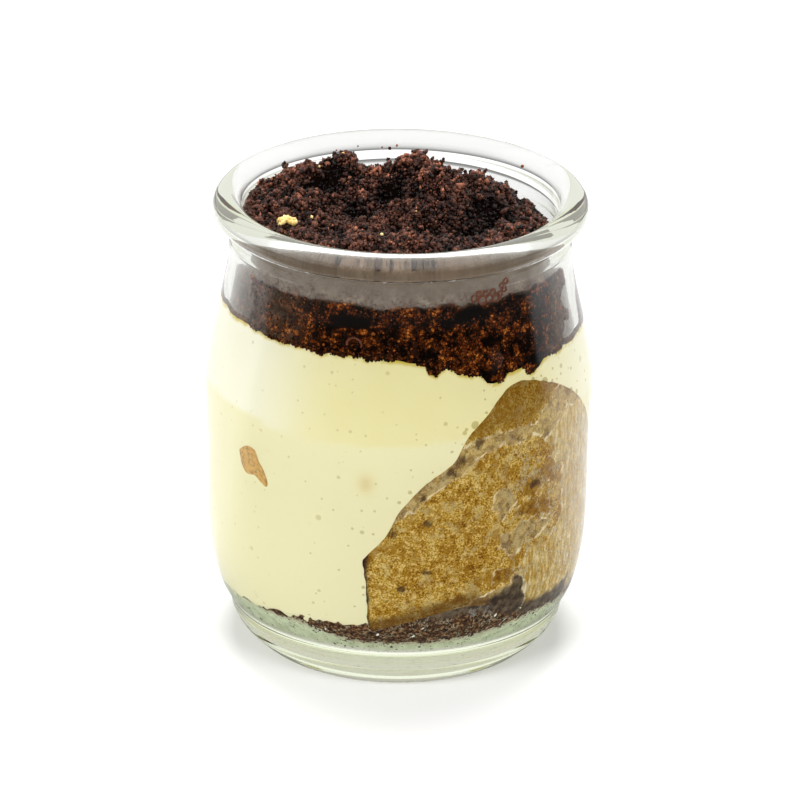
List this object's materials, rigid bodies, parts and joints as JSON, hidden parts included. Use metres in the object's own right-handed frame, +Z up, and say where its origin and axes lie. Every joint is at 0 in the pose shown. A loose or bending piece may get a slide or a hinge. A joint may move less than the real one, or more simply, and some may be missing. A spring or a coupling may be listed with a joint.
{
  "type": "tiramisu in a glass jar",
  "caption": "Small round-lipped glass dessert jar of tiramisu: dark crumbs below, pale cream with a sponge biscuit at the wall, and a loose heap of cocoa crumbs above the rim.",
  "frame": {"origin": "middle of the jar's foot, on the surface it stands on", "axes": "+Z up along the jar's axis; -Y is the front, with the sponge biscuit showing at the right front, towards +X"},
  "size_m": [0.0646, 0.0646, 0.0816],
  "materials": {
    "jar_glass": "clear pressed glass with a faint green tint",
    "wet_crumbs": "dark wet cocoa crumbs",
    "cream": "smooth pale yellow mascarpone cream",
    "soaked_sponge": "coffee-soaked sponge, porous and wet",
    "pale_sponge": "dry pale brown sponge",
    "cocoa_crumbs": "loose dark cocoa sponge crumbs"
  },
  "bodies": {
    "root": {"glass_jar": "jar_glass", "crumb_base": "wet_crumbs", "cream": "cream", "sponge_biscuit": "soaked_sponge", "biscuit_chunk": "pale_sponge", "crumb_topping": "cocoa_crumbs"}
  },
  "joints": []
}
